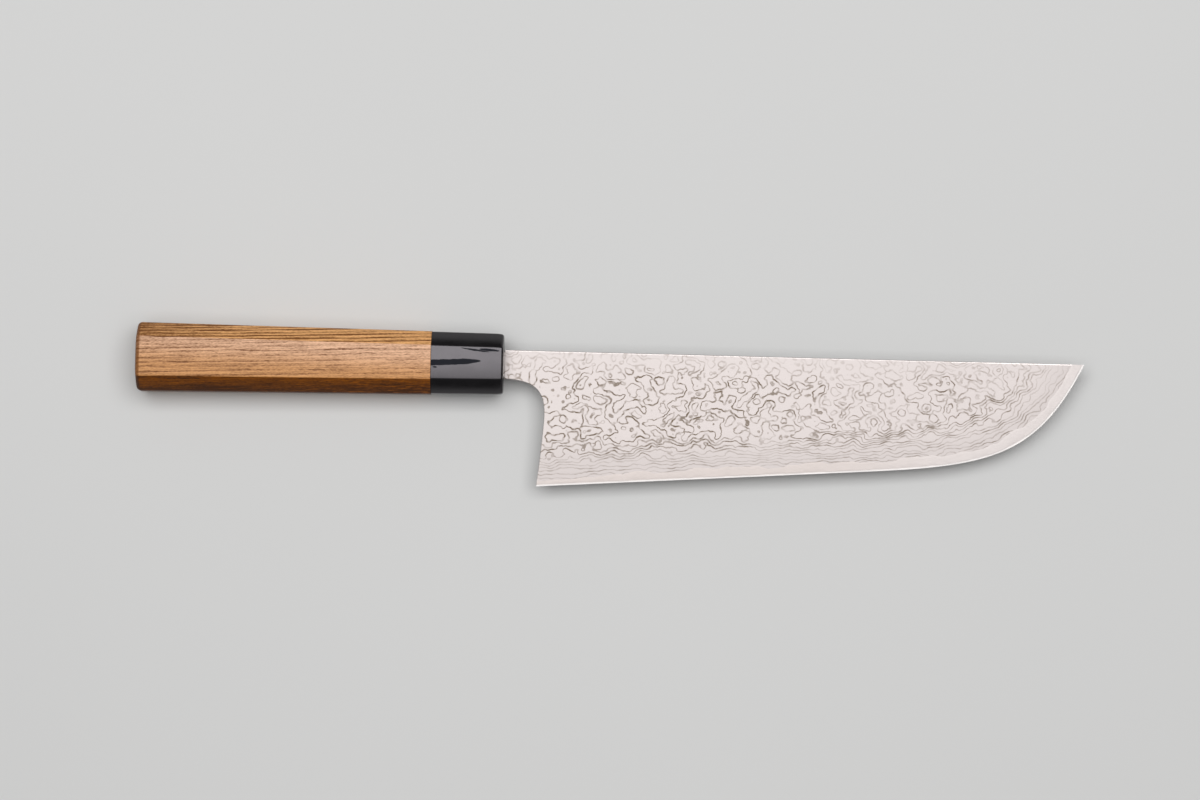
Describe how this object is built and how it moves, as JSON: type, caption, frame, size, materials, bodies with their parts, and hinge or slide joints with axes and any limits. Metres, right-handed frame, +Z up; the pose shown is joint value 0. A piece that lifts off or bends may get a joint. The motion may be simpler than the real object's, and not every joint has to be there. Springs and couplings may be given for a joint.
{
  "type": "gyuto kitchen knife",
  "caption": "Gyuto chef's knife with a laminated damascus-clad blade, a curved choil, a hidden tang, a black horn ferrule and a tapered octagonal wooden handle.",
  "frame": {"origin": "under the middle of the knife's length and height, on the surface that the handle's butt rests on when the knife lies on its left side", "axes": "+X along the handle's axis towards the point, +Y towards the spine, +Z up out of the blade's right face"},
  "size_m": [0.365, 0.06, 0.0211],
  "materials": {
    "core_steel": "ground and honed hard steel",
    "damascus_cladding": "etched damascus, satin",
    "handle_wood": "oiled, fine open grain along the handle",
    "horn": "polished black horn",
    "dowel_wood": "plain turned dowel",
    "resin": "set resin"
  },
  "bodies": {
    "root": {"blade_core": "core_steel", "cladding_right": "damascus_cladding", "cladding_left": "damascus_cladding", "handle_body": "handle_wood", "ferrule": "horn", "tang_dowel": "dowel_wood", "tang_bedding": "resin"}
  },
  "joints": []
}
